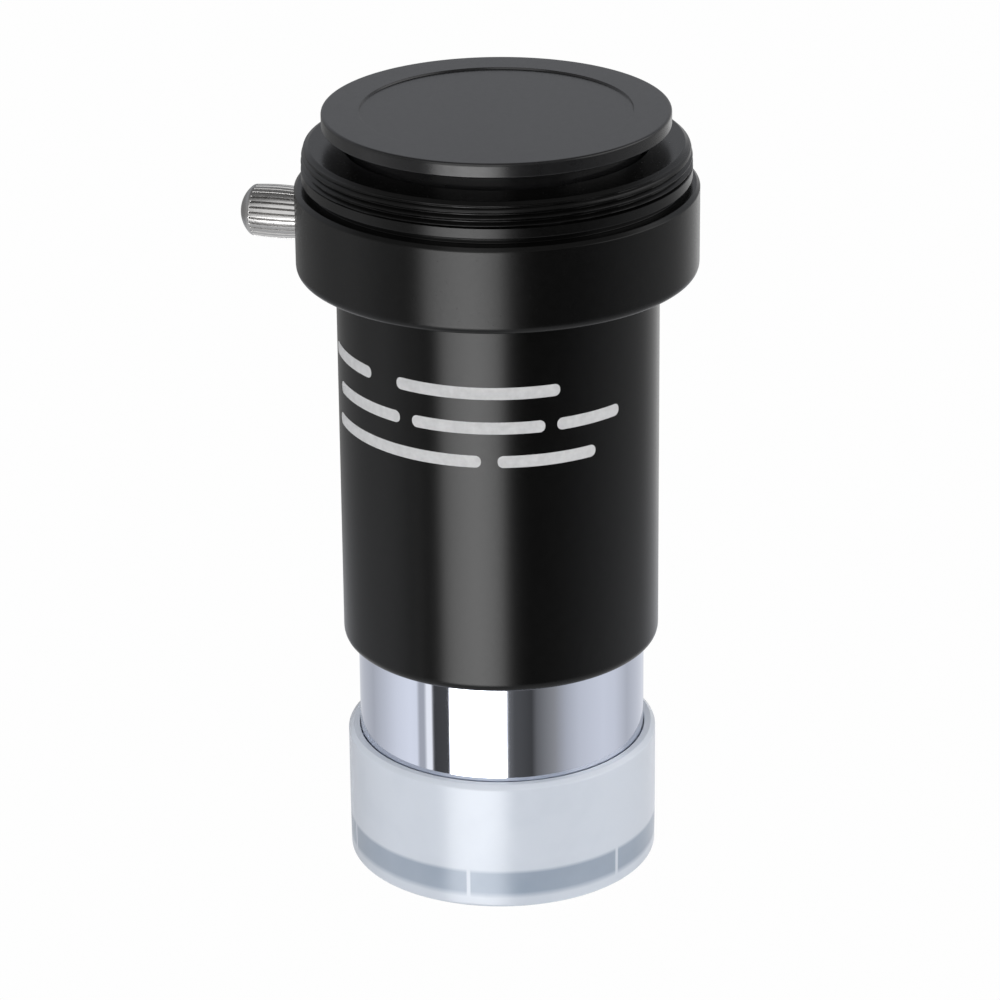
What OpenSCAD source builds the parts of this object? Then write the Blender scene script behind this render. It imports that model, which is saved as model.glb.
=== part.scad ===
// Short three-element barlow lens for 1.25 inch eyepieces.
// It stands upright on its nose cap: the base is at z = 0, +Z points to the eyepiece end
// and the thumbscrew points along -X. Every length is in millimetres.

/* [Nosepiece] */
// Outer diameter of the chromed nosepiece, which slides into a 1.25 inch focuser
nose_d = 31.7; // [31.5:0.05:31.8]
// Height of the nosepiece's open end above the base
nose_end_z = 4.1; // [2.5:0.1:5]
// Clear bore of the nosepiece above its filter thread
nose_bore_d = 27.2; // [26:0.1:27.6]
// Crest diameter of the M28.5 x 0.6 filter thread
filter_crest_d = 27.9; // [27.8:0.05:28]
// Root diameter of the filter thread
filter_root_d = 28.55; // [28.5:0.05:28.7]
// Pitch of the filter thread
filter_pitch = 0.6; // [0.5:0.05:0.75]
// Number of turns of the filter thread
filter_turns = 7; // [4:1:8]

/* [Main barrel] */
// Outer diameter of the black barrel
barrel_d = 34.9; // [34:0.1:37]
// Height of the barrel's lower end above the base
barrel_z = 26.1; // [24:0.1:30]
// Height at which the collar sits on the barrel
collar_z = 68.9; // [60:0.1:80]
// Radius of the rounded lower corner of the barrel
barrel_corner = 1; // [0.3:0.1:1.5]
// Bore that takes the eyepiece
eyepiece_bore_d = 31.9; // [31.8:0.05:32]
// Height of the shoulder that stops the eyepiece
eyepiece_stop_z = 54.2; // [45:0.1:60]

/* [Eyepiece holder] */
// Outer diameter of the wide collar
collar_d = 43.4; // [42.5:0.1:46]
// Height of the wide collar
collar_h = 9.5; // [7:0.1:14]
// Crest diameter of the M42 x 0.75 camera thread
t_crest_d = 41.8; // [41.7:0.05:42]
// Pitch of the camera thread
t_pitch = 0.75; // [0.5:0.05:1]
// Number of full turns of the camera thread
t_turns = 3; // [2:1:8]
// Depth of the camera thread
t_depth = 0.44; // [0.3:0.02:0.5]

/* [Thumbscrew] */
// Height of the thumbscrew's axis above the base
screw_z = 73; // [72.4:0.1:73.6]
// Outer diameter of the knurled head
head_d = 5.9; // [5:0.1:8]
// Length of the head with its dome
head_l = 6.95; // [4:0.05:10]
// Number of knurl ridges round the head
knurl_count = 30; // [20:1:40]
// Outer diameter of the stud, an M3 thread
stud_d = 2.9; // [2.8:0.05:3]
// Pitch of the stud's thread
stud_pitch = 0.5; // [0.35:0.05:0.6]

/* [Top dust cap] */
// Diameter of the cap's flange
flange_d = 37.3; // [36:0.1:41]
// Thickness of the flange
flange_h = 1.6; // [1:0.1:3]
// Length of the plug below the flange
plug_l = 7.8; // [4:0.1:9]
// Outer diameter of the plug
plug_d = 31.76; // [31.7:0.02:31.8]
// Diameter of the shallow recess in the flange's face
recess_d = 29; // [20:0.5:32]

/* [Nose dust cap] */
// Outer diameter of the cap's wall
nose_cap_d = 34.4; // [34:0.1:36]
// Height of the cap
nose_cap_h = 14.8; // [10:0.1:20]
// Thickness of the cap's floor
nose_cap_floor = 1.2; // [0.8:0.1:2]
// Number of ribs inside the cap
rib_count = 6; // [3:1:8]
// Height of the ribs above the base
rib_top = 9.6; // [5:0.1:12]

/* [Optics] */
// Diameter of every lens element
lens_d = 24; // [20:0.5:24]
// Height of the lens cell's lower end above the base
cell_z = 16; // [12:0.5:20]
// Clear opening of the two light baffles
baffle_d = 23; // [18:0.5:26]

/* [Hidden] */
// steps round a turned piece and round a small drilled hole
turned = 128;
drilled = 48;
// clearance between two pieces that fit into each other
play = 0.05;

nose_r = nose_d / 2;
nose_bore_r = nose_bore_d / 2;
barrel_r = barrel_d / 2;
bore_r = eyepiece_bore_d / 2;
collar_r = collar_d / 2;
collar_top = collar_z + collar_h;
t_r = t_crest_d / 2;
t_root_r = t_r - t_depth;

// camera thread: a relief, a plain band, then the turns, a lower top turn and a lead-in chamfer
relief_h = 0.7;
relief_r = t_r - 0.8;
band_h = 1.2;
turns_z = collar_top + relief_h + band_h;
lead_in_h = 0.4;
holder_top = turns_z + t_turns * t_pitch + lead_in_h;
top_turn_drop = 0.2;
collar_low_edge = 0.5;
collar_top_edge = 0.4;
holder_edge = 0.35;
mouth_edge = 0.6;

// the groove of the compression ring lies between the barrel's spigot and the holder
groove_r = 17.25;
groove_low = screw_z - 1.8;
groove_high = screw_z + 1.8;
spigot_r = groove_r - play;
ring_outer_r = 16.75;
ring_inner_r = 16.15;
ring_slack = 0.2;
ring_split = 3;

// nosepiece joint inside the barrel's lower end
nose_spigot_r = 14.9;
nose_spigot_top = 33;
barrel_low_bore = nose_spigot_r + play;
barrel_mid_bore = 15.2;
barrel_step_z = nose_spigot_top + 1.6;

// outer edge of the nosepiece, and the shallow groove round it behind the cap's rim
nose_edge = 0.4;
undercut_r = nose_r - 0.35;
undercut_low = nose_cap_h - 0.75;
undercut_high = nose_cap_h - 0.05;

// light baffles pressed into the barrel
upper_baffle_z = 51;
lower_baffle_z = 42;
baffle_h = 1.2;
baffle_outer = barrel_mid_bore - 0.02;

// thumbscrew, measured as a distance from the main axis
tip_end = 16.95;
stud_end = 17.55;
head_start = collar_r + play;
screw_hole_start = 16;
screw_hole_l = 8;

// thumbscrew head: a knurled cylinder with a low dome
head_r = head_d / 2;
head_foot = 0.15;
knurl_depth = 0.28;
knurl_l = head_l - 1.7;
dome_r = 3.52;
dome_from = 32;

// thumbscrew stud with a blind hole for the soft tip's pin
stud_r = stud_d / 2;
stud_root_r = stud_r - 0.28;
stud_in_head = 2.8;
stud_top = head_start + stud_in_head - play;
stud_turns = 9;
stud_turns_start = stud_end + 0.1;
stud_turns_end = stud_turns_start + stud_turns * stud_pitch;
tip_r = 1.1;
pin_r = 0.7;
pin_l = 1.5;

// lens elements: edge heights and the sag of each surface at the rim
lens_r = lens_d / 2;
cell_lip = 1;
front_z = cell_z + cell_lip;
front_edge = 3.2;
spacer_h = 2;
crown_z = front_z + front_edge + spacer_h;
crown_edge = 4.2;
flint_z = crown_z + crown_edge;
flint_edge = 2;
ring_z = flint_z + flint_edge;
ring_h = 2;
cell_r = nose_bore_r - play;
cell_flange_r = nose_spigot_r - 0.1;
cell_top = nose_spigot_top + 1.2;
lens_open_r = lens_r - 1;

// radius of each lens surface, from the front of the group to the back
front_bend = 70;
front_back_bend = 200;
crown_bend = 60;
cement_bend = 50;
flint_bend = 80;

// top dust cap: the plug, which stands a little out of the bore, and the flange
plug_out = 1.95;
cap_under = holder_top + plug_out;
cap_top = cap_under + flange_h;
cap_edge = 0.3;
plug_r = plug_d / 2;
plug_end = cap_under - plug_l;
plug_inner_r = plug_r - 1.28;
flange_r = flange_d / 2;
recess_r = recess_d / 2;
recess_depth = 0.2;

// nose dust cap: the wall, the grip inside its rim and the ribs
cap_r = nose_cap_d / 2;
cap_foot = 0.3;
rim_edge = 0.5;
grip_h = 1.6;
cavity_r = nose_r + 0.4;
grip_r = nose_r + 0.07;
rib_w = 1;
rib_step_r = 14.7;
rib_step_z = nose_end_z - 0.1;
first_rib = 32;

// one turn of an outside thread: root, flank, crest, flank
function turn_points(z, p, root, crest) = [
  [root, z],
  [root, z + 0.25 * p],
  [crest, z + 0.55 * p],
  [crest, z + 0.7 * p]
];

// all the turns of a thread, from the lowest up
function thread_points(z, p, n, root, crest) = [
  for (i = [0 : n - 1])
    for (q = turn_points(z + i * p, p, root, crest))
      q
];

// points on a quarter circle of radius r around c, from angle a to angle b
function arc_points(c, r, a, b, n) = [
  for (i = [0 : n])
    [c[0] + r * cos(a + (b - a) * i / n), c[1] + r * sin(a + (b - a) * i / n)]
];

// height of a spherical surface above its centre at distance x from the axis
function sag(rad, x) = rad - sqrt(rad * rad - x * x);

// a lens surface from the axis out to the rim; bend is +1 when the rim is higher
function surface_points(z, rad, bend, n) = [
  for (i = [0 : n])
    [lens_r * i / n, z + bend * sag(rad, lens_r * i / n)]
];

// a list of points in the opposite order
function backwards(list) = [
  for (i = [len(list) - 1 : -1 : 0])
    list[i]
];

module lathe(points) {
  rotate_extrude($fn = turned)
    polygon(points);
}

module tube(outer, inner, low, high) {
  translate([0, 0, low])
    difference() {
      cylinder(r = outer, h = high - low, $fn = turned);
      translate([0, 0, -1])
        cylinder(r = inner, h = high - low + 2, $fn = turned);
    }
}

// turns a piece drawn along +Z so that it points out along the thumbscrew's axis
module on_screw_axis() {
  translate([0, 0, screw_z])
    rotate([0, -90, 0])
      children();
}

module top_dust_cap() {
  color([0.05, 0.05, 0.055])
    lathe([
      [0, cap_under + 0.1],
      [plug_inner_r, cap_under + 0.1],
      [plug_inner_r, plug_end + 0.3],
      [plug_inner_r + 0.2, plug_end],
      [plug_r - 0.5, plug_end],
      [plug_r, plug_end + 0.8],
      [plug_r, cap_under],
      [flange_r - cap_edge, cap_under],
      [flange_r, cap_under + cap_edge],
      [flange_r, cap_top - cap_edge],
      [flange_r - 0.3 * cap_edge, cap_top - 0.3 * cap_edge],
      [flange_r - cap_edge, cap_top],
      [recess_r + 0.1, cap_top],
      [recess_r, cap_top - recess_depth],
      [0, cap_top - recess_depth]
    ]);
}

module eyepiece_holder() {
  color([0.06, 0.06, 0.065])
    difference() {
      lathe(concat(
        [
          [groove_r, collar_z],
          [collar_r - collar_low_edge, collar_z],
          [collar_r, collar_z + collar_low_edge],
          [collar_r, collar_top - collar_top_edge],
          [collar_r - collar_top_edge, collar_top],
          [relief_r, collar_top],
          [relief_r, collar_top + relief_h],
          [t_r, collar_top + relief_h],
          [t_r, turns_z - play]
        ],
        thread_points(turns_z, t_pitch, t_turns - 1, t_root_r, t_r),
        turn_points(turns_z + (t_turns - 1) * t_pitch, t_pitch, t_root_r, t_r - top_turn_drop),
        [
          [t_root_r, turns_z + t_turns * t_pitch],
          [t_root_r, holder_top - holder_edge],
          [t_root_r - holder_edge, holder_top],
          [bore_r + mouth_edge, holder_top],
          [bore_r, holder_top - mouth_edge],
          [bore_r, groove_high],
          [groove_r, groove_high]
        ]
      ));
      on_screw_axis()
        translate([0, 0, screw_hole_start])
          cylinder(r = stud_r + play, h = screw_hole_l, $fn = drilled);
    }
}

module compression_ring() {
  color([0.78, 0.6, 0.28])
    difference() {
      tube(ring_outer_r, ring_inner_r, groove_low + ring_slack, groove_high - ring_slack);
      translate([ring_inner_r - 1, -ring_split / 2, groove_low])
        cube([ring_outer_r - ring_inner_r + 2, ring_split, groove_high - groove_low]);
    }
}

module thumbscrew_head() {
  color([0.72, 0.71, 0.69])
    on_screw_axis()
      translate([0, 0, head_start])
        difference() {
          intersection() {
            linear_extrude(height = head_l)
              polygon([
                for (i = [0 : 2 * knurl_count - 1])
                  let (r = i % 2 == 0 ? head_r : head_r - knurl_depth)
                  let (a = 180 * i / knurl_count)
                  [r * cos(a), r * sin(a)]
              ]);
            lathe(concat(
              [[0, 0], [head_r - head_foot, 0], [head_r + 0.02, head_foot]],
              [[head_r + 0.02, knurl_l]],
              arc_points([0, head_l - dome_r], dome_r, dome_from, 90, 7)
            ));
          }
          translate([0, 0, -1])
            cylinder(r = stud_r + 0.02, h = 1 + stud_in_head, $fn = drilled);
        }
}

module thumbscrew_stud() {
  color([0.7, 0.69, 0.67])
    on_screw_axis()
      difference() {
        lathe(concat(
          [[0, stud_end], [stud_root_r, stud_end]],
          thread_points(stud_turns_start, stud_pitch, stud_turns, stud_root_r, stud_r),
          [
            [stud_root_r, stud_turns_end],
            [stud_r, stud_turns_end + 0.2],
            [stud_r, stud_top],
            [0, stud_top]
          ]
        ));
        translate([0, 0, stud_end - 1])
          cylinder(r = pin_r + play, h = 1 + pin_l + 0.1, $fn = drilled);
      }
}

module thumbscrew_tip() {
  color([0.9, 0.89, 0.84])
    on_screw_axis()
      lathe([
        [0, tip_end],
        [tip_r - 0.2, tip_end],
        [tip_r, tip_end + 0.2],
        [tip_r, stud_end - play],
        [pin_r, stud_end - play],
        [pin_r, stud_end - play + pin_l],
        [0, stud_end - play + pin_l]
      ]);
}

module main_barrel() {
  corner = arc_points(
    [barrel_r - barrel_corner, barrel_z + barrel_corner], barrel_corner, -90, 0, 5);
  color([0.06, 0.06, 0.065])
    lathe(concat(
      [[barrel_low_bore, barrel_z]],
      corner,
      [
        [barrel_r, collar_z],
        [spigot_r, collar_z],
        [spigot_r, groove_low - 0.2],
        [spigot_r - 0.2, groove_low],
        [bore_r, groove_low],
        [bore_r, eyepiece_stop_z],
        [barrel_mid_bore, eyepiece_stop_z],
        [barrel_mid_bore, barrel_step_z],
        [barrel_low_bore, barrel_step_z]
      ]
    ));
}

module baffle(low) {
  color([0.03, 0.03, 0.03])
    lathe([
      [baffle_d / 2, low + 0.25],
      [baffle_d / 2 + 1, low],
      [baffle_outer, low],
      [baffle_outer, low + baffle_h],
      [baffle_d / 2 + 1.5, low + baffle_h],
      [baffle_d / 2, low + 0.4]
    ]);
}

module upper_baffle() {
  baffle(upper_baffle_z);
}

module lower_baffle() {
  baffle(lower_baffle_z);
}

module nosepiece() {
  crest = filter_crest_d / 2;
  root = filter_root_d / 2;
  turns_low = nose_end_z + 0.35;
  turns_high = turns_low + filter_turns * filter_pitch;
  color([0.82, 0.83, 0.85])
    lathe(concat(
      [
        [root + 0.25, nose_end_z],
        [nose_r - nose_edge, nose_end_z],
        [nose_r, nose_end_z + nose_edge],
        [nose_r, undercut_low],
        [undercut_r, undercut_low],
        [undercut_r, undercut_high],
        [nose_r, undercut_high],
        [nose_r, barrel_z],
        [nose_spigot_r, barrel_z],
        [nose_spigot_r, nose_spigot_top],
        [nose_bore_r, nose_spigot_top],
        [nose_bore_r, turns_high + 0.9],
        [root, turns_high + 0.6],
        [root, turns_high]
      ],
      backwards(thread_points(turns_low, filter_pitch, filter_turns, root, crest))
    ));
}

module lens_cell() {
  color([0.04, 0.04, 0.045])
    lathe([
      [lens_open_r, cell_z],
      [cell_r - 0.3, cell_z],
      [cell_r, cell_z + 0.3],
      [cell_r, nose_spigot_top],
      [cell_flange_r, nose_spigot_top],
      [cell_flange_r, cell_top],
      [lens_r + mouth_edge, cell_top],
      [lens_r + play, cell_top - mouth_edge],
      [lens_r + play, front_z],
      [lens_open_r, front_z]
    ]);
}

module retaining_ring() {
  color([0.04, 0.04, 0.045])
    difference() {
      tube(lens_r, lens_open_r - 0.2, ring_z, ring_z + ring_h);
      for (a = [0, 180])
        rotate([0, 0, a])
          translate([lens_open_r - 1, -0.6, ring_z + 1])
            cube([3, 1.2, 3]);
    }
}

module doublet_flint() {
  color([0.75, 0.9, 0.8, 0.4])
    lathe(concat(
      surface_points(flint_z - sag(cement_bend, lens_r), cement_bend, 1, 10),
      backwards(surface_points(ring_z - sag(flint_bend, lens_r), flint_bend, 1, 10))
    ));
}

module doublet_crown() {
  color([0.75, 0.85, 0.9, 0.4])
    lathe(concat(
      surface_points(crown_z + sag(crown_bend, lens_r), crown_bend, -1, 10),
      backwards(surface_points(flint_z - sag(cement_bend, lens_r), cement_bend, 1, 10))
    ));
}

module spacer_ring() {
  color([0.04, 0.04, 0.045])
    tube(lens_r, lens_open_r, front_z + front_edge, crown_z);
}

module front_lens() {
  back_z = front_z + front_edge;
  color([0.75, 0.85, 0.9, 0.4])
    lathe(concat(
      surface_points(front_z + sag(front_bend, lens_r), front_bend, -1, 10),
      backwards(surface_points(
        back_z - sag(front_back_bend, lens_r), front_back_bend, 1, 10))
    ));
}

module nose_dust_cap() {
  color([0.83, 0.87, 0.93, 0.6]) {
    lathe(concat(
      [[0, 0]],
      arc_points([cap_r - cap_foot - 0.05, cap_foot], cap_foot, -90, 0, 3),
      [
        [cap_r, 6],
        [cap_r, nose_cap_h - rim_edge],
        [cap_r - rim_edge, nose_cap_h],
        [grip_r + 0.15, nose_cap_h],
        [grip_r, nose_cap_h - 0.15],
        [grip_r, nose_cap_h - grip_h],
        [cavity_r, nose_cap_h - grip_h - 0.3],
        [cavity_r, nose_cap_floor],
        [0, nose_cap_floor]
      ]
    ));
    for (i = [0 : rib_count - 1])
      rotate([0, 0, first_rib + i * 360 / rib_count])
        nose_cap_rib();
  }
}

// one rib: a friction rib along the wall with a step under the nosepiece's end
module nose_cap_rib() {
  translate([0, rib_w / 2, 0])
    rotate([90, 0, 0])
      linear_extrude(height = rib_w)
        polygon([
          [rib_step_r, nose_cap_floor - 0.2],
          [cavity_r + 0.3, nose_cap_floor - 0.2],
          [cavity_r + 0.3, rib_top],
          [grip_r + 0.2, rib_top],
          [grip_r, rib_top - 0.5],
          [grip_r, rib_step_z],
          [rib_step_r, rib_step_z]
        ]);
}

top_dust_cap();
eyepiece_holder();
compression_ring();
thumbscrew_head();
thumbscrew_stud();
thumbscrew_tip();
main_barrel();
upper_baffle();
lower_baffle();
nosepiece();
lens_cell();
retaining_ring();
doublet_flint();
doublet_crown();
spacer_ring();
front_lens();
nose_dust_cap();
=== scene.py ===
import math

import bpy
import numpy as np
from mathutils import Matrix, Vector


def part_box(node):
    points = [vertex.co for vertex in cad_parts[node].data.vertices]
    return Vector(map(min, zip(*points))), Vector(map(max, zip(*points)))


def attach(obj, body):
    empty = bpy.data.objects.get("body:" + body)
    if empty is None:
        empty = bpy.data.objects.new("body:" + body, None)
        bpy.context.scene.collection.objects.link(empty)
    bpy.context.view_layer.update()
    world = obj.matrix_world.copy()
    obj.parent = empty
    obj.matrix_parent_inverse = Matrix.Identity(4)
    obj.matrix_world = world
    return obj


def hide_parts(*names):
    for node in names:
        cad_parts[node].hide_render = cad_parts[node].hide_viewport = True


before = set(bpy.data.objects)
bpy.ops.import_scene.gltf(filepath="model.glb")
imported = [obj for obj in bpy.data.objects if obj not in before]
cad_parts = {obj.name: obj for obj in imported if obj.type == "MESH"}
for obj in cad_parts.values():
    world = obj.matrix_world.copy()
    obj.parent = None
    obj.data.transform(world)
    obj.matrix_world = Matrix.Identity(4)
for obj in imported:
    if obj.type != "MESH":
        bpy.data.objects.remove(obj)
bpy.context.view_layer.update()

MM = 0.001
TAU = 2 * math.pi
CREASE = 38  # degrees; edges sharper than this stay crisp
RIBS = 6  # inside the nose cap
FIRST_RIB = 32  # degrees from +X
FRONT = -75  # the side of the barrel that the print is centred on, in degrees from +X
linspace = np.linspace


# ---------------------------------------------------------------- small helpers
def box_mm(node):
    low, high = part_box(node)
    return np.array(low) / MM, np.array(high) / MM


def whole_turn(steps):
    """Even angles once round, the first at 0."""
    return linspace(0, TAU, steps + 1)[:-1]


def smoothstep(x, a, b):
    t = np.clip((np.asarray(x, float) - a) / (b - a), 0, 1)
    return t * t * (3 - 2 * t)


def soft_min(a, b, k):
    """The lower of a and b, with the corner between them rounded over a width of about k."""
    h = np.clip(0.5 + 0.5 * (b - a) / k, 0, 1)
    return b * (1 - h) + a * h - k * h * (1 - h)


def soften(points, radii, closed=False, steps=5):
    """Rounds each corner of a line in the (r, z) plane, with a support point beside each arc."""
    pts = [np.array(p, float) for p in points]
    n = len(pts)
    out = []
    for i, (p, r) in enumerate(zip(pts, radii)):
        is_end = not closed and i in (0, n - 1)
        if is_end or r <= 0:
            out.append(p)
            continue
        u, v = pts[i - 1] - p, pts[(i + 1) % n] - p
        lu, lv = np.linalg.norm(u), np.linalg.norm(v)
        u, v = u / lu, v / lv
        half = math.acos(max(-1.0, min(1.0, float(u @ v)))) / 2
        t = min(r / math.tan(half), 0.42 * lu, 0.42 * lv)
        s = min(0.3 * t, 0.04 * lu, 0.04 * lv)
        out.append(p + u * (t + s))
        for k in range(steps + 1):
            a = k / steps
            out.append(p + u * t * (1 - a) ** 2 + v * t * a**2)
        out.append(p + v * (t + s))
    return [(float(q[0]), float(q[1])) for q in out]


def make_mesh(name, verts, faces, sharp=CREASE):
    """A mesh object from points in millimetres, with its faces turned outwards."""
    verts = np.asarray(verts, float)
    volume = 0.0
    for size in (3, 4):
        group = np.array([f for f in faces if len(f) == size])
        if len(group):
            for k in range(1, size - 1):
                a, b, c = (verts[group[:, i]] for i in (0, k, k + 1))
                volume += float((a * np.cross(b, c)).sum())
    if volume < 0:
        faces = [tuple(reversed(f)) for f in faces]
    mesh = bpy.data.meshes.new(name)
    mesh.from_pydata((verts * MM).tolist(), [], faces)
    mesh.update()
    mesh.shade_smooth()
    mesh.set_sharp_from_angle(angle=math.radians(sharp))
    obj = bpy.data.objects.new(name, mesh)
    bpy.context.scene.collection.objects.link(obj)
    return obj


def grid_mesh(name, rings, loop=False, pole_first=False, pole_last=False, sharp=CREASE):
    """A surface from rings of points, shape (rows, steps, 3). Each ring closes on itself.

    loop joins the last ring to the first; a pole closes an end ring onto one point.
    """
    rows, steps, _ = rings.shape
    verts = rings.reshape(-1, 3)
    faces = []
    turn = [(j + 1) % steps for j in range(steps)]
    for i in range(rows if loop else rows - 1):
        a, b = i * steps, ((i + 1) % rows) * steps
        faces.extend((a + j, a + turn[j], b + turn[j], b + j) for j in range(steps))
    extra = []
    if pole_first:
        extra.append(rings[0].mean(0))
        p = rows * steps
        faces.extend((turn[j], j, p) for j in range(steps))
    if pole_last:
        extra.append(rings[-1].mean(0))
        p = rows * steps + len(extra) - 1
        a = (rows - 1) * steps
        faces.extend((a + j, a + turn[j], p) for j in range(steps))
    if extra:
        verts = np.vstack([verts, extra])
    return make_mesh(name, verts, faces, sharp)


def repeat_line(line, steps):
    """The first and second value of each point of a line, each repeated round the turn."""
    return [np.repeat([[p[k]] for p in line], steps, 1) for k in (0, 1)]


def to_grid(values, angles):
    """Values of shape (rows,) or (rows, steps), as (rows, steps)."""
    values = np.asarray(values, float)
    return (values[:, None] if values.ndim == 1 else values) + 0 * angles


def upright(radii, heights, angles):
    """Rings about the Z axis. radii and heights are (rows,) or (rows, steps)."""
    r, z = to_grid(radii, angles), to_grid(heights, angles)
    return np.stack([r * np.cos(angles), r * np.sin(angles), z], -1)


def along_screw(radii, out, angles):
    """Rings about the thumbscrew's axis, which points along -X. out is the distance from the main axis."""
    r, s = to_grid(radii, angles), to_grid(out, angles)
    return np.stack([-s, r * np.sin(angles), screw_z + r * np.cos(angles)], -1)


def lathe(name, line, steps, loop=True, poles=(False, False), sharp=CREASE):
    """A turned piece from its outline, points of radius and height."""
    r, z = zip(*line)
    return grid_mesh(name, upright(r, z, whole_turn(steps)), loop, poles[0], poles[1], sharp)


def place(obj, body, material, nodes=()):
    """Gives a piece its material and its body, and hides the CAD nodes that it stands for."""
    obj.data.materials.clear()
    obj.data.materials.append(material)
    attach(obj, body)
    if nodes:
        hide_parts(*nodes)
    return obj


# ---------------------------------------------------------------- materials
def add_maths(tree, operation, *values):
    """A Math node whose inputs are numbers or sockets; gives its output."""
    node = tree.nodes.new("ShaderNodeMath")
    node.operation = operation
    for socket, value in zip(node.inputs, values):
        if isinstance(value, (int, float)):
            socket.default_value = value
        else:
            tree.links.new(value, socket)
    return node.outputs[0]


class Look:
    """A material with one Principled shader, and short ways to add nodes to it."""

    def __init__(self, name, **values):
        self.material = bpy.data.materials.new(name)
        self.material.use_nodes = True
        self.tree = self.material.node_tree
        self.shader = self.tree.nodes["Principled BSDF"]
        for key, value in values.items():
            self.shader.inputs[key.replace("_", " ")].default_value = value
        self.where = self.add("ShaderNodeTexCoord").outputs["Object"]

    def add(self, kind, **values):
        node = self.tree.nodes.new(kind)
        for key, value in values.items():
            setattr(node, key, value)
        return node

    def link(self, a, b):
        self.tree.links.new(a, b)

    def maths(self, operation, *values):
        return add_maths(self.tree, operation, *values)

    def split_where(self):
        """The x, y and z of the place on the piece, in metres."""
        split = self.add("ShaderNodeSeparateXYZ")
        self.link(self.where, split.inputs[0])
        return split.outputs

    def noise(self, scale, detail, roughness=0.5):
        node = self.add("ShaderNodeTexNoise")
        node.inputs["Scale"].default_value = scale
        node.inputs["Detail"].default_value = detail
        node.inputs["Roughness"].default_value = roughness
        self.link(self.where, node.inputs["Vector"])
        return node.outputs["Fac"]

    def rings(self, scale, detail=3.0):
        """Fine marks round the Z axis, as a lathe leaves them."""
        x, y, z = self.split_where()
        x2, y2 = self.maths("MULTIPLY", x, x), self.maths("MULTIPLY", y, y)
        r = self.maths("SQRT", self.maths("ADD", x2, y2))
        node = self.add("ShaderNodeTexNoise", noise_dimensions="2D")
        join = self.add("ShaderNodeCombineXYZ")
        self.link(r, join.inputs[0])
        self.link(z, join.inputs[1])
        self.link(join.outputs[0], node.inputs["Vector"])
        node.inputs["Scale"].default_value = scale
        node.inputs["Detail"].default_value = detail
        return node.outputs["Fac"]

    def spread(self, value, low, high):
        """low to high as a noise value goes through its usual range, 0.25 to 0.75."""
        node = self.add("ShaderNodeMapRange")
        self.link(value, node.inputs["Value"])
        node.inputs["From Min"].default_value = 0.25
        node.inputs["From Max"].default_value = 0.75
        node.inputs["To Min"].default_value = low
        node.inputs["To Max"].default_value = high
        return node.outputs["Result"]

    def between(self, value, a, b):
        """0 where value is at a, 1 where it is at b."""
        node = self.add("ShaderNodeMapRange")
        self.link(value, node.inputs["Value"])
        node.inputs["From Min"].default_value = a
        node.inputs["From Max"].default_value = b
        return node.outputs["Result"]

    def bump(self, height, strength, distance, below=None):
        """Relief from a height. below is the relief that this one is laid over."""
        node = self.add("ShaderNodeBump")
        node.inputs["Strength"].default_value = strength
        node.inputs["Distance"].default_value = distance
        self.link(height, node.inputs["Height"])
        if below is not None:
            self.link(below, node.inputs["Normal"])
        self.link(node.outputs["Normal"], self.shader.inputs["Normal"])
        return node.outputs["Normal"]

    def roughness(self, value, low, high):
        self.link(self.spread(value, low, high), self.shader.inputs["Roughness"])

    def tint(self, value, first, last):
        """The base colour, first where value is 0.3 or less, last where it is 0.7 or more."""
        ramp = self.add("ShaderNodeValToRGB")
        ramp.color_ramp.elements[0].position = 0.3
        ramp.color_ramp.elements[0].color = (*first, 1)
        ramp.color_ramp.elements[1].position = 0.7
        ramp.color_ramp.elements[1].color = (*last, 1)
        self.link(value, ramp.inputs["Fac"])
        self.link(ramp.outputs["Color"], self.shader.inputs["Base Color"])


def anodised(name, grain, low, high):
    """Satin black metal. grain is the strength of its fine relief, low and high its roughness."""
    look = Look(name, Metallic=0.0, IOR=1.33)
    look.tint(look.noise(900, 3), (0.0014, 0.0014, 0.0013), (0.0024, 0.0024, 0.0023))
    look.roughness(look.noise(3800, 4, 0.6), low, high)
    fine = look.bump(look.noise(7000, 2), grain, 0.00002)
    look.bump(look.rings(9000, 2), 0.04, 0.00001, fine)
    return look.material


def milky_plastic():
    """The nose cap's plastic.

    Its base colour carries painted shade: the wall is painted darker low down, where no metal stands
    behind it, and the ribs are left out of it as pale painted lines that stand for the light they catch.
    """
    # painted shade: the heights over which the darker band on the wall fades in and out
    painted_shade_foot, painted_shade_top = (0.0011, 0.0018), (0.00455, 0.0041)
    look = Look("milky_plastic", IOR=1.4, Transmission_Weight=0.2, Coat_Weight=1.0,
                Coat_Roughness=0.27, Coat_IOR=1.58)
    x, y, z = look.split_where()
    band = look.maths("MULTIPLY", look.between(z, *painted_shade_foot), look.between(z, *painted_shade_top))
    angle = look.maths("SUBTRACT", look.maths("ARCTAN2", y, x), math.radians(FIRST_RIB))
    half_gap = math.pi / RIBS
    angle = look.maths("WRAP", angle, half_gap, -half_gap)
    # along the ribs the painted shade is left out, so they show as pale painted lines
    line = look.between(look.maths("ABSOLUTE", angle), math.radians(0.9), math.radians(0.5))
    painted_shade = look.maths("MULTIPLY", band, look.maths("SUBTRACT", 1.0, line))
    wave = look.spread(look.noise(160, 3), 0.26, 0.34)
    # the base colour mixes the painted shade, which darkens it towards the second colour, with random tone
    look.tint(look.maths("MULTIPLY_ADD", painted_shade, 0.36, wave), (0.86, 0.915, 1.0), (0.39, 0.47, 0.58))
    look.roughness(look.noise(900, 4), 0.34, 0.42)
    look.bump(look.noise(500, 3), 0.06, 0.0001)
    return look.material


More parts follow.
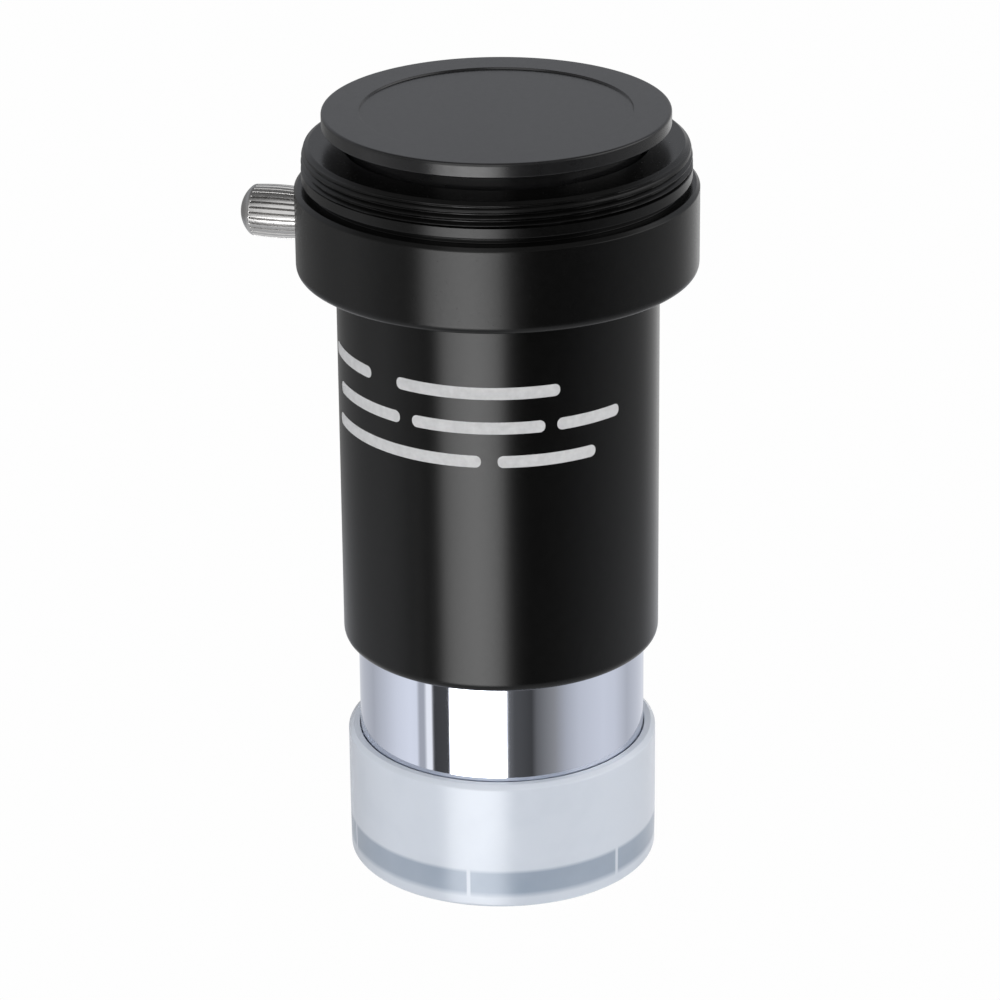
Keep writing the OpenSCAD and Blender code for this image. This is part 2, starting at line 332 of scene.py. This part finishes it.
def make_materials():
    mats = {}
    mats["anodised"] = anodised("black_anodised_satin", 0.08, 0.22, 0.26)
    mats["collar"] = anodised("black_anodised_collar", 0.12, 0.23, 0.28)

    look = Look("black_baffle_matte", IOR=1.4)
    look.tint(look.noise(1500, 3), (0.006, 0.006, 0.006), (0.011, 0.011, 0.011))
    look.roughness(look.noise(3000, 4), 0.6, 0.75)
    look.bump(look.rings(3600), 0.5, 0.00005)
    mats["baffle"] = look.material

    look = Look("chrome_polished", Metallic=1.0, Base_Color=(0.685, 0.715, 0.80, 1))
    look.roughness(look.noise(260, 3), 0.035, 0.06)
    ripple = look.bump(look.noise(120, 2), 0.03, 0.0002)
    look.bump(look.rings(1800, 2), 0.02, 0.00002, ripple)
    mats["chrome"] = look.material

    look = Look("nickel_satin", Metallic=1.0, Base_Color=(0.40, 0.395, 0.39, 1))
    look.roughness(look.noise(2500, 3), 0.24, 0.34)
    look.bump(look.noise(9000, 3), 0.15, 0.00002)
    mats["nickel"] = look.material

    look = Look("brass_satin", Metallic=1.0, Base_Color=(0.74, 0.55, 0.25, 1))
    look.roughness(look.noise(2500, 3), 0.22, 0.36)
    look.bump(look.rings(4000), 0.15, 0.00002)
    mats["brass"] = look.material

    look = Look("nylon_white", IOR=1.5, Subsurface_Weight=0.3, Subsurface_Scale=0.0005)
    look.tint(look.noise(1800, 3), (0.74, 0.72, 0.66), (0.80, 0.785, 0.73))
    look.roughness(look.noise(2600, 3), 0.38, 0.5)
    mats["nylon"] = look.material

    look = Look("black_plastic_gloss", IOR=1.42)
    look.tint(look.noise(700, 3), (0.010, 0.010, 0.0105), (0.013, 0.013, 0.0135))
    look.roughness(look.noise(1600, 4, 0.6), 0.20, 0.27)
    look.bump(look.noise(2600, 3), 0.08, 0.00002)
    mats["black_plastic"] = look.material

    mats["milky"] = milky_plastic()

    look = Look("coated_glass", IOR=1.52, Transmission_Weight=1.0,
                Base_Color=(0.97, 0.99, 0.98, 1), Roughness=0.0,
                Thin_Film_Thickness=380.0, Thin_Film_IOR=1.38)
    look.bump(look.noise(40, 1), 0.002, 0.0001)
    mats["glass"] = look.material

    look = Look("print_white", IOR=1.45)
    look.tint(look.noise(1400, 3), (0.60, 0.60, 0.60), (0.70, 0.70, 0.70))
    look.roughness(look.noise(4000, 3), 0.45, 0.6)
    look.bump(look.noise(9000, 3), 0.1, 0.00001)
    mats["print"] = look.material
    return mats


mats = make_materials()

# ---------------------------------------------------------------- eyepiece holder
holder_low, holder_high = box_mm("eyepiece_holder")
barrel_low, barrel_high = box_mm("main_barrel")
head_low, head_high = box_mm("thumbscrew_head")
stud_low, stud_high = box_mm("thumbscrew_stud")
ring_top = box_mm("compression_ring")[1][2]
screw_z = (head_low[2] + head_high[2]) / 2
collar_r = holder_high[1]
collar_z = holder_low[2]
collar_top = collar_z + 9.5
holder_top = holder_high[2]
bore_r = 15.95
groove_r = 17.25
groove_top = ring_top + 0.2
crest_r = 20.9
root_r = 20.46
camera_pitch = 0.75
turns_z = holder_top - 2.65


def make_holder():
    """The collar, with the camera thread as one true helix on its outside."""
    steps = 320
    angles = whole_turn(steps)
    edge = 0.4
    step_r, step_top = crest_r - 0.8, collar_top + 0.7
    mouth = 0.6
    row_h = 0.03
    lower = soften(
        [(groove_r, collar_z), (collar_r, collar_z), (collar_r, collar_top - edge),
         (collar_r - edge, collar_top), (step_r, collar_top), (step_r, step_top),
         (crest_r, step_top), (crest_r, turns_z - 2 * row_h)],
        [0, 0.8, 0.16, 0.16, 0.08, 0.08, 0.16, 0], steps=6)
    upper = soften(
        [(root_r - 0.06, holder_top - 0.28), (root_r - 0.4, holder_top),
         (bore_r + mouth, holder_top), (bore_r, holder_top - mouth),
         (bore_r, groove_top), (groove_r, groove_top), (groove_r, collar_z + 0.4)],
        [0, 0.2, 0.12, 0.12, 0.05, 0.08, 0])
    rows_z = np.arange(turns_z - row_h, holder_top - 0.3, row_h)
    phase = (rows_z[:, None] - turns_z) / camera_pitch - angles[None, :] / TAU
    t = phase - np.floor(phase)
    # root, flank, crest, flank
    flank = 0.43
    tooth = np.minimum(np.clip((t - 0.08) / flank, 0, 1), np.clip((0.99 - t) / flank, 0, 1))
    r = root_r + (crest_r - root_r) * tooth
    # the groove runs out into the plain band below
    run_out = root_r + (crest_r - root_r) * (1 - smoothstep(rows_z, turns_z - 0.06, turns_z + 0.1))
    r = np.maximum(r, run_out[:, None])
    # the crests fall away towards the mouth, as a lead-in
    rise = np.clip((rows_z - holder_top + 2.1) / 2.3, 0, 1)
    lead_in = crest_r - 0.9 * (1 - np.sqrt(1 - rise**2))
    r = soft_min(r, lead_in[:, None], 0.04)
    low_r, low_z = repeat_line(lower, steps)
    high_r, high_z = repeat_line(upper, steps)
    rings = upright(np.vstack([low_r, r, high_r]),
                    np.vstack([low_z, to_grid(rows_z, angles), high_z]), angles)
    obj = grid_mesh("eyepiece_holder_body", rings, loop=True)
    drill_hole(obj)
    return obj


def drill_hole(obj):
    """The thumbscrew's hole through the collar wall."""
    hole_r = 1.5
    rings = along_screw([hole_r, hole_r], [groove_r - 0.75, collar_r + 0.8], whole_turn(48))
    drill = grid_mesh("drill", rings, False, True, True)
    cut = obj.modifiers.new("screw_hole", "BOOLEAN")
    cut.operation = "DIFFERENCE"
    cut.solver = "EXACT"
    cut.object = drill
    bpy.context.view_layer.update()
    shown = obj.evaluated_get(bpy.context.evaluated_depsgraph_get())
    mesh = bpy.data.meshes.new_from_object(shown)
    obj.modifiers.clear()
    obj.data = mesh
    bpy.data.objects.remove(drill)
    mesh.shade_smooth()
    mesh.set_sharp_from_angle(angle=math.radians(CREASE))


place(make_holder(), "barlow_body", mats["collar"], ["eyepiece_holder"])

# ---------------------------------------------------------------- main barrel
barrel_r = 17.45
barrel_z = barrel_low[2]
barrel_top = barrel_high[2]


def make_barrel():
    """The barrel, wider inside between the nosepiece's seat and the eyepiece's bore."""
    spigot_r = groove_r - 0.05
    seat_r, seat_top = 14.95, 34.6
    wide_r, wide_top = 15.2, 54.2
    line = soften(
        [(seat_r, barrel_z), (barrel_r, barrel_z), (barrel_r, collar_z),
         (spigot_r, collar_z), (spigot_r, barrel_top), (bore_r, barrel_top),
         (bore_r, wide_top), (wide_r, wide_top), (wide_r, seat_top), (seat_r, seat_top)],
        [0.1, 1.0, 0, 0.05, 0.2, 0.1, 0.05, 0.1, 0.05, 0.05], closed=True, steps=8)
    return lathe("main_barrel_tube", line, steps=256)


place(make_barrel(), "barlow_body", mats["anodised"], ["main_barrel"])


# ---------------------------------------------------------------- printed rows
def make_bar(first, last, z_mid, height):
    """One rounded bar on the barrel, between two angles in degrees. Gives its points and faces."""
    length = math.radians(last - first) * barrel_r
    half = height / 2
    radius = half * 0.9
    # columns of points follow the barrel's curve, closer together in the rounded ends
    corner = [radius - radius * math.cos(math.radians(90 * k / 8)) for k in range(9)]
    middle = linspace(radius, length - radius, max(4, int(length / 0.4)))
    columns = sorted({round(float(x), 5) for x in [*corner, *(length - c for c in corner), *middle]})
    verts = []
    for x in columns:
        from_middle = max(0.0, radius - x, x - (length - radius))
        reach = math.sqrt(max(0.0, radius**2 - from_middle**2))
        top = half - radius + max(reach, 0.02)
        a = math.radians(first) + x / barrel_r
        for r in (barrel_r + 0.012, barrel_r - 0.02):
            for z in (z_mid - top, z_mid + top):
                verts.append((r * math.cos(a), r * math.sin(a), z))
    faces = []
    for i in range(0, 4 * (len(columns) - 1), 4):
        j = i + 4
        faces += [(i, j, j + 1, i + 1), (i + 2, i + 3, j + 3, j + 2),
                  (i, i + 2, j + 2, j), (i + 1, j + 1, j + 3, i + 3)]
    end = 4 * (len(columns) - 1)
    faces += [(0, 1, 3, 2), (end, end + 2, end + 3, end + 1)]
    return verts, faces


def make_print(name, z_mid, spans):
    """A row of plain bars. Each span is a pair of angles in degrees from the print's middle."""
    verts, faces = [], []
    for first, last in spans:
        bar_verts, bar_faces = make_bar(FRONT + first, FRONT + last, z_mid, 1.35)
        base = len(verts)
        verts += bar_verts
        faces += [tuple(base + i for i in face) for face in bar_faces]
    place(make_mesh(name, verts, faces, 30), "barlow_body", mats["print"])


make_print("print_row_1", 60.8, [(-81.6, -50.8), (-38.2, 21.6)])
make_print("print_row_2", 56.9, [(-75.0, -37.0), (-31.8, 16.1), (20.5, 46.5)])
make_print("print_row_3", 53.1, [(-76.9, -6.5), (-0.7, 35.6)])

# ---------------------------------------------------------------- nosepiece
nose_low, nose_high = box_mm("nosepiece")
cap_high = box_mm("nose_dust_cap")[1]
nose_r = 15.85
nose_end = nose_low[2]
nose_top = nose_high[2]
nose_bore = 13.6
filter_root = 14.275
filter_crest = 13.95
filter_pitch = 0.6
filter_turns = 7


def rounded_tooth(t):
    """0 at the root and 1 at the crest of a rounded thread, as t goes over one pitch."""
    return smoothstep(t, 0.2, 0.52) - smoothstep(t, 0.66, 0.98)


def make_nosepiece():
    """The chromed tube, with the filter thread as one true helix inside its end."""
    steps = 256
    angles = whole_turn(steps)
    low = nose_end + 0.35
    high = low + filter_pitch * filter_turns
    # a shallow groove, whose upper edge hides just below the nose cap's rim
    groove_high, groove_low = cap_high[2] - 0.05, cap_high[2] - 0.75
    groove_in = nose_r - 0.35
    spigot_r = 14.9
    outside = soften(
        [(filter_root, nose_end + 0.25), (filter_root + 0.25, nose_end),
         (nose_r, nose_end), (nose_r, groove_low), (groove_in, groove_low),
         (groove_in, groove_high), (nose_r, groove_high), (nose_r, barrel_z),
         (spigot_r, barrel_z), (spigot_r, nose_top), (nose_bore, nose_top),
         (nose_bore, high + 0.9), (filter_root, high + 0.6), (filter_root, high + 0.06)],
        [0, 0.1, 0.4, 0.05, 0.05, 0.05, 0.05, 0, 0.05, 0.15, 0.15, 0.1, 0.1, 0])
    rows_z = np.arange(high + 0.03, low - 0.04, -0.035)
    phase = (rows_z[:, None] - low) / filter_pitch - angles[None, :] / TAU
    ends = np.minimum(smoothstep(rows_z, low - 0.05, low + 0.25),
                      1 - smoothstep(rows_z, high - 0.25, high + 0.03))
    tooth = rounded_tooth(phase - np.floor(phase))
    r = filter_root - (filter_root - filter_crest) * tooth * ends[:, None]
    line_r, line_z = repeat_line(outside, steps)
    rings = upright(np.vstack([line_r, r]), np.vstack([line_z, to_grid(rows_z, angles)]), angles)
    return grid_mesh("nosepiece_tube", rings, loop=True)


place(make_nosepiece(), "barlow_body", mats["chrome"], ["nosepiece"])

# ---------------------------------------------------------------- top dust cap
top_low, top_high = box_mm("top_dust_cap")


def make_top_cap():
    """A hollow plug under a flange, with a shallow dish in its top."""
    end, top = top_low[2], top_high[2]
    flange_r, plug_r, hollow_r = top_high[1], 15.88, 14.6
    under = top - 1.6
    dish_r, dish_floor = 14.62, top - 0.2
    line = soften(
        [(0, under + 0.1), (hollow_r, under + 0.1), (hollow_r, end + 0.3),
         (hollow_r + 0.2, end), (plug_r - 0.5, end), (plug_r, end + 0.8),
         (plug_r, under), (flange_r, under), (flange_r, top), (dish_r, top),
         (dish_r - 0.12, dish_floor), (0, dish_floor)],
        [0, 0.3, 0.1, 0.1, 0.1, 0.2, 0.1, 0.2, 0.3, 0.05, 0.05, 0], steps=7)
    # rings across the flat faces keep the shading even
    line = spread_rings(line)
    return lathe("top_dust_cap_shell", line[1:-1], steps=256, loop=False, poles=(True, True))


def spread_rings(line):
    """Adds points to the long flat stretches that run in to the axis."""
    out = [line[0]]
    for a, b in zip(line, line[1:]):
        n = 6 if abs(a[0] - b[0]) > 5 else 1
        for k in range(1, n + 1):
            out.append((a[0] + (b[0] - a[0]) * k / n, a[1] + (b[1] - a[1]) * k / n))
    return out


place(make_top_cap(), "top_cap", mats["black_plastic"], ["top_dust_cap"])


# ---------------------------------------------------------------- nose dust cap
def turn_apart(a, b):
    """How far apart two angles are, the short way round."""
    return np.abs((a - b + math.pi) % TAU - math.pi)


def cap_angles(ribs, half):
    """Even angles round the nose cap, with extra ones at the sides of each rib."""
    offsets = (half - 0.003, half, half + 0.003, half + 0.006, half * 0.5)
    extra = [a % TAU for a in ribs]
    extra += [(a + side * d) % TAU for a in ribs for d in offsets for side in (1, -1)]
    even = [a for a in whole_turn(216) if turn_apart(a, np.array(extra)).min() > 0.006]
    return np.array(sorted(set(np.round(even + extra, 6))))


def make_nose_cap():
    """A cup whose six inner ribs grip the nosepiece and step in below its end."""
    top, wall_r = cap_high[2], cap_high[1]
    cavity_r, grip_r, step_r, floor_z = nose_r + 0.4, nose_r + 0.07, 14.7, 1.2
    rib_top, step_z = 9.6, nose_end - 0.1
    grip_end = top - 1.6
    half = 0.5 / 15.9  # half the ribs' width, as an angle
    ribs = [math.radians(FIRST_RIB + 360 * k / RIBS) for k in range(RIBS)]
    angles = cap_angles(ribs, half)
    steps = len(angles)
    off = np.min([turn_apart(angles, a) for a in ribs], 0)
    in_rib = 1 - smoothstep(off, half - 0.001, half + 0.004)
    outer = soften(
        [(0, 0), (wall_r - 0.05, 0), (wall_r, 6.0), (wall_r, top - 0.45),
         (wall_r - 0.5, top), (grip_r, top), (grip_r, grip_end),
         (cavity_r, grip_end - 0.3), (cavity_r, rib_top + 0.6)],
        [0, 0.35, 0, 0.3, 0.2, 0.15, 0.2, 0.2, 0], steps=8)[1:]
    wall_z = np.concatenate([
        linspace(rib_top + 0.15, rib_top - 0.25, 9), linspace(rib_top - 0.6, step_z + 0.3, 9),
        linspace(step_z + 0.06, step_z - 0.06, 4), linspace(step_z - 0.3, floor_z + 0.35, 5)])
    depth = (cavity_r - grip_r) * (1 - smoothstep(wall_z, rib_top - 0.3, rib_top + 0.1))
    depth = depth + (grip_r - step_r) * (1 - smoothstep(wall_z, step_z - 0.06, step_z + 0.06))
    wall = cavity_r - depth[:, None] * in_rib[None, :]
    # a fillet where the wall meets the floor, then rings across the floor
    bend = np.radians([22.5, 45, 67.5, 90])
    fillet_r = wall[-1] - 0.35 * (1 - np.cos(bend))[:, None]
    fillet_z = floor_z + 0.35 * (1 - np.sin(bend))
    floor_line = [(r, floor_z) for r in (14.2, 12.5, 10, 7.5, 5, 2.5, 0.8)]
    out_r, out_z = repeat_line(outer, steps)
    floor_r, floor_rows_z = repeat_line(floor_line, steps)
    rings = upright(
        np.vstack([out_r, wall, fillet_r, floor_r]),
        np.vstack([out_z, to_grid(wall_z, angles), to_grid(fillet_z, angles), floor_rows_z]), angles)
    return grid_mesh("nose_dust_cap_shell", rings, False, True, True, 44)


place(make_nose_cap(), "nose_cap", mats["milky"], ["nose_dust_cap"])


# ---------------------------------------------------------------- thumbscrew
def make_head():
    """The knurled head, from its foot at the collar to its dome."""
    ridges = 30
    steps = ridges * 10
    angles = whole_turn(steps)
    start, end = -head_high[0], -head_low[0]
    r_out = head_high[1]
    dome_r = 3.52
    centre = end - dome_r
    dome_from = end - 0.9
    bore, bore_depth = 1.47, 2.8
    foot_h = 0.12
    outs = np.concatenate([linspace(start, start + 0.3, 9), linspace(start + 0.5, end - 1.9, 12),
                           linspace(end - 1.8, dome_from, 22)])
    from_edge = 1 - np.clip((outs - start) / foot_h, 0, 1)
    foot = r_out - foot_h * (1 - np.sqrt(1 - from_edge**2 * 0.99))
    middle = (start + end - 1.6) / 2
    crown = r_out - 0.12 * ((outs - middle) / 2.6) ** 2
    dome = np.sqrt(np.maximum(dome_r**2 - np.maximum(outs - centre, 0) ** 2, 0.01))
    envelope = soft_min(np.minimum(foot, crown), dome, 0.12)
    turn = angles * ridges / TAU
    t = np.abs(turn - np.floor(turn) - 0.5) * 2
    # narrow grooves between broad, slightly rounded ridges, which end where the dome begins
    groove = 0.2 * (1 - smoothstep(t, 0.06, 0.36)) + 0.02 * (1 - t) ** 2
    fade = 1 - smoothstep(outs, end - 1.78, end - 1.55)
    r = envelope[:, None] - groove[None, :] * fade[:, None]
    tip = linspace(math.acos((dome_from - centre) / dome_r), 0.06, 14)[1:]
    tip_line = [(dome_r * math.sin(a), centre + dome_r * math.cos(a)) for a in tip]
    bore_line = [(0.4, start + bore_depth), (bore - 0.02, start + bore_depth),
                 (bore, start + bore_depth - 0.02), (bore, start + 0.02), (bore + 0.05, start)]
    tip_r, tip_out = repeat_line(tip_line, steps)
    bore_rows, bore_out = repeat_line(bore_line, steps)
    rings = along_screw(np.vstack([bore_rows, r, tip_r]),
                        np.vstack([bore_out, to_grid(outs, angles), tip_out]), angles)
    return grid_mesh("thumbscrew_knurled_head", rings, False, True, True, 50)


def make_stud():
    """The threaded stud, hollow at its inner end for the tip and plain inside the head."""
    steps = 72
    angles = whole_turn(steps)
    start, end = -stud_high[0], -stud_low[0]
    r_out, pitch = stud_high[1], 0.5
    r_root = r_out - 0.28
    plain_from = start + 4.75
    seat_r, seat_depth = 0.75, 1.6
    outs = np.arange(start + 0.12, plain_from, 0.04)
    phase = outs[:, None] / pitch - angles[None, :] / TAU
    tooth = rounded_tooth(phase - np.floor(phase))
    first = smoothstep(outs, start + 0.1, start + 0.45)
    last = smoothstep(outs, plain_from - 0.3, plain_from)
    r = r_root + (r_out - r_root) * tooth * first[:, None]
    r = r + (r_out - r) * last[:, None]
    inner = [(0.3, start + seat_depth), (seat_r - 0.03, start + seat_depth),
             (seat_r, start + seat_depth - 0.03), (seat_r, start + 0.03),
             (seat_r + 0.03, start), (r_root - 0.06, start), (r_root, start + 0.06)]
    outer = [(r_out, plain_from + 0.1), (r_out, end - 0.05), (r_out - 0.05, end), (0.3, end)]
    inner_r, inner_out = repeat_line(inner, steps)
    outer_r, outer_out = repeat_line(outer, steps)
    rings = along_screw(np.vstack([inner_r, r, outer_r]),
                        np.vstack([inner_out, to_grid(outs, angles), outer_out]), angles)
    return grid_mesh("thumbscrew_threaded_stud", rings, False, True, True, 40)


place(make_head(), "thumbscrew", mats["nickel"], ["thumbscrew_head"])
place(make_stud(), "thumbscrew", mats["nickel"], ["thumbscrew_stud"])


# ---------------------------------------------------------------- lenses
def bulge(bend, r):
    """How far a surface of radius bend has moved up from its middle, at r from the axis."""
    return bend - math.copysign(1, bend) * np.sqrt(bend * bend - r * r)


def make_lens(name, node, low_bend, high_bend, gap):
    """low_bend and high_bend are the radii of the two surfaces; a negative one bends down.

    gap keeps a lens clear of the one it is cemented to.
    """
    low, high = box_mm(node)
    r_out = 11.99
    radii = linspace(0.4, r_out - 0.06, 26)
    bottom = low[2] + bulge(low_bend, radii) + gap
    if low_bend < 0:
        bottom = bottom - bulge(low_bend, r_out)
    top = high[2] + (bulge(high_bend, radii) - bulge(high_bend, r_out))
    edge = [(r_out, bottom[-1] + 0.06), (r_out, top[-1] - 0.06)]
    line = list(zip(radii, bottom)) + edge + list(zip(radii[::-1], top[::-1]))
    return lathe(name, line, steps=128, loop=False, poles=(True, True), sharp=30)


for name, node, low_bend, high_bend, gap in (
        ("front_lens_glass", "front_lens", -70, 200, 0),
        ("doublet_crown_glass", "doublet_crown", -60, 50, 0),
        ("doublet_flint_glass", "doublet_flint", 50, 80, 0.02)):
    place(make_lens(name, node, low_bend, high_bend, gap),
          "barlow_body", mats["glass"], [node])

# ---------------------------------------------------------------- CAD nodes that show as they are
for node, key in (("compression_ring", "brass"), ("thumbscrew_tip", "nylon"),
                  ("upper_baffle", "baffle"), ("lower_baffle", "baffle"),
                  ("lens_cell", "baffle"), ("retaining_ring", "baffle"),
                  ("spacer_ring", "baffle")):
    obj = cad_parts[node]
    obj.data.materials.clear()
    obj.data.materials.append(mats[key])


# ---------------------------------------------------------------- studio
# colour ramps hold values up to 1, so the brightness is divided by this and restored at the end
SCALE = 10.0
PAPER_WHITE = (0.99, 0.99, 0.99, 1)


def ramp_node(nodes, stops):
    """A colour ramp from (bearing in degrees, brightness or colour) stops, -180 to 180."""
    node = nodes.new("ShaderNodeValToRGB")
    elements = node.color_ramp.elements
    elements.remove(elements[-1])
    for i, (bearing, value) in enumerate(stops):
        position = (bearing + 180) / 360
        element = elements[0] if i == 0 else elements.new(position)
        element.position = position
        colour = value if isinstance(value, tuple) else (value, value, value)
        element.color = (*[c / SCALE for c in colour], 1)
    return node


def make_studio():
    """A light tent round the object, which the camera itself sees as plain white.

    Its panels are placed by the tones that the nosepiece and the barrel show. A bearing of 0
    is the camera's side, and positive ones are to its right.
    """
    world = bpy.data.worlds.new("studio")
    bpy.context.scene.world = world
    world.use_nodes = True
    tree = world.node_tree
    nodes, links = tree.nodes, tree.links
    nodes.clear()
    coord = nodes.new("ShaderNodeTexCoord")
    split = nodes.new("ShaderNodeSeparateXYZ")
    links.new(coord.outputs["Generated"], split.inputs[0])

    def maths(operation, *values):
        return add_maths(tree, operation, *values)

    bearing = maths("ARCTAN2", split.outputs[1], split.outputs[0])
    bearing = maths("ADD", bearing, math.radians(-FRONT))
    bearing = maths("WRAP", bearing, math.pi, -math.pi)
    share = maths("MULTIPLY_ADD", bearing, 1 / TAU, 0.5)

    def blue(v):
        return (0.965 * v, 0.985 * v, 1.04 * v)

    # what a polished upright surface shows, a little below the horizon
    level = ramp_node(nodes, [
        (-180, blue(0.75)), (-150, blue(0.60)), (-128, blue(0.52)), (-110, blue(0.68)),
        (-94, blue(0.86)), (-80, blue(0.95)), (-72.5, blue(0.93)), (-71, blue(0.5)),
        (-65.2, blue(0.5)), (-63.8, 1.1), (-58.8, 1.1), (-57.4, 0.06), (-43, 0.08),
        (-42, 5.0), (-30, 7.5), (-16, 9.0), (-4, 7.5), (3.3, 5.0), (4.3, 0.2), (10, 0.1),
        (24, 0.065), (28, 0.16), (43, 0.33), (54, blue(0.55)), (65, blue(0.70)),
        (77, blue(0.77)), (90, blue(0.82)), (104, blue(0.78)), (122, blue(0.58)),
        (140, blue(0.68)), (160, blue(0.8)), (180, blue(0.75))])
    # the same directions farther down and up to the horizon
    around = ramp_node(nodes, [
        (-180, 0.4), (-144, 0.28), (-110, 0.42), (-88, 0.75), (-70, 0.6), (-58, 0.5),
        (-52, 0.25), (-43, 0.25), (-42, 4.6), (-30, 7.0), (-16, 8.8), (-4, 7.0), (3.3, 4.6),
        (4.3, 0.3), (20, 0.06), (50, 0.04), (64, 0.15), (80, 0.32), (100, 0.42), (125, 0.45),
        (150, 0.8), (163, 1.05), (180, 0.55)])
    # above the horizon, and then high up
    high = ramp_node(nodes, [
        (-180, blue(0.53)), (-120, blue(0.55)), (-80, 0.6), (-50, 0.3), (-44, 1.7), (4, 1.7),
        (10, 0.3), (50, 0.3), (62, 1.9), (110, 1.9), (122, blue(0.55)), (180, blue(0.53))])
    upper = ramp_node(nodes, [
        (-180, 0.25), (-50, 0.25), (-44, 1.6), (4, 1.6), (10, 0.25), (180, 0.25)])
    # straight out towards the horizon, the large soft panel is far dimmer
    out_level = ramp_node(nodes, [
        (-180, 0.4), (-144, 0.28), (-110, 0.42), (-88, 0.6), (-52, 0.25), (-43, 0.25),
        (-40, 1.5), (2, 1.5), (5, 0.25), (20, 0.06), (50, 0.04), (64, 0.15), (80, 0.32),
        (100, 0.42), (125, 0.45), (155, 0.75), (180, 0.6)])
    for node in (level, around, high, upper, out_level):
        links.new(share, node.inputs["Fac"])

    def blend(foot, top, below, above):
        """below in directions lower than foot, above in those higher than top."""
        step = nodes.new("ShaderNodeMapRange")
        step.interpolation_type = "SMOOTHSTEP"
        step.inputs["From Min"].default_value = foot
        step.inputs["From Max"].default_value = top
        links.new(split.outputs[2], step.inputs["Value"])
        mix = nodes.new("ShaderNodeMix")
        mix.data_type = "RGBA"
        links.new(step.outputs["Result"], mix.inputs["Factor"])
        for value, socket in ((below, mix.inputs["A"]), (above, mix.inputs["B"])):
            if isinstance(value, tuple):
                socket.default_value = value
            else:
                links.new(value, socket)
        return mix.outputs["Result"]

    table = (0.85 / SCALE, 0.86 / SCALE, 0.88 / SCALE, 1)
    ceiling = (0.2 / SCALE, 0.2 / SCALE, 0.2 / SCALE, 1)
    view = blend(-0.56, -0.50, table, around.outputs["Color"])
    view = blend(-0.50, -0.475, view, level.outputs["Color"])
    view = blend(-0.41, -0.38, view, around.outputs["Color"])
    view = blend(-0.29, -0.23, view, out_level.outputs["Color"])
    view = blend(-0.05, 0.20, view, high.outputs["Color"])
    view = blend(0.59, 0.72, view, upper.outputs["Color"])
    view = blend(0.925, 0.95, view, ceiling)
    glow = nodes.new("ShaderNodeBackground")
    links.new(view, glow.inputs["Color"])
    plain = nodes.new("ShaderNodeBackground")
    plain.inputs["Color"].default_value = PAPER_WHITE
    path = nodes.new("ShaderNodeLightPath")
    # the tent lights matt surfaces a little more than mirrors show of it
    extra = 0.22
    links.new(maths("MULTIPLY_ADD", path.outputs["Is Diffuse Ray"], extra * SCALE, SCALE),
              glow.inputs["Strength"])
    pick = nodes.new("ShaderNodeMixShader")
    links.new(path.outputs["Is Camera Ray"], pick.inputs[0])
    links.new(glow.outputs[0], pick.inputs[1])
    links.new(plain.outputs[0], pick.inputs[2])
    out = nodes.new("ShaderNodeOutputWorld")
    links.new(pick.outputs[0], out.inputs["Surface"])


def make_floor():
    """A plain pale disc. It lights the object from below and shows as plain white."""
    rows = linspace(0.01, 4.0, 24) / MM
    just_below = np.full(len(rows), -0.05)
    floor = grid_mesh("floor", upright(rows, just_below, whole_turn(64)), False, True)
    material = bpy.data.materials.new("floor_pale")
    material.use_nodes = True
    nodes, links = material.node_tree.nodes, material.node_tree.links
    nodes.clear()
    path = nodes.new("ShaderNodeLightPath")
    white = nodes.new("ShaderNodeEmission")
    white.inputs["Color"].default_value = PAPER_WHITE
    matte = nodes.new("ShaderNodeBsdfDiffuse")
    matte.inputs["Color"].default_value = (0.85, 0.86, 0.88, 1)
    pick = nodes.new("ShaderNodeMixShader")
    links.new(path.outputs["Is Camera Ray"], pick.inputs[0])
    links.new(matte.outputs[0], pick.inputs[1])
    links.new(white.outputs[0], pick.inputs[2])
    # its faces look down: from that side the floor is clear, so that the underside shows
    side = nodes.new("ShaderNodeNewGeometry")
    clear = nodes.new("ShaderNodeBsdfTransparent")
    under = nodes.new("ShaderNodeMixShader")
    links.new(side.outputs["Backfacing"], under.inputs[0])
    links.new(clear.outputs[0], under.inputs[1])
    links.new(pick.outputs[0], under.inputs[2])
    out = nodes.new("ShaderNodeOutputMaterial")
    links.new(under.outputs[0], out.inputs["Surface"])
    floor.data.materials.append(material)
    floor.visible_glossy = False


def make_camera():
    """A camera where the photo's outlines and this model's agree."""
    bearing = math.radians(15)
    pitch = 0.3983
    roll = -0.0095
    reach, height = 0.45002, 0.23079
    forward = Vector((-math.sin(bearing) * math.cos(pitch),
                      math.cos(bearing) * math.cos(pitch), -math.sin(pitch)))
    right = Vector((math.cos(bearing), math.sin(bearing), 0))
    up = right.cross(forward)
    x = right * math.cos(roll) + up * math.sin(roll)
    y = up * math.cos(roll) - right * math.sin(roll)
    data = bpy.data.cameras.new("camera")
    data.lens = 159.8
    data.sensor_width = 36.0
    data.clip_start = 0.01
    camera = bpy.data.objects.new("camera", data)
    bpy.context.scene.collection.objects.link(camera)
    turned = Matrix((x, y, -forward)).transposed().to_4x4()
    spot = Vector((reach * math.sin(bearing), -reach * math.cos(bearing), height))
    camera.matrix_world = Matrix.Translation(spot) @ turned
    bpy.context.scene.camera = camera


make_studio()
make_floor()
make_camera()
scene = bpy.context.scene
scene.view_settings.view_transform = "Standard"
scene.view_settings.look = "None"
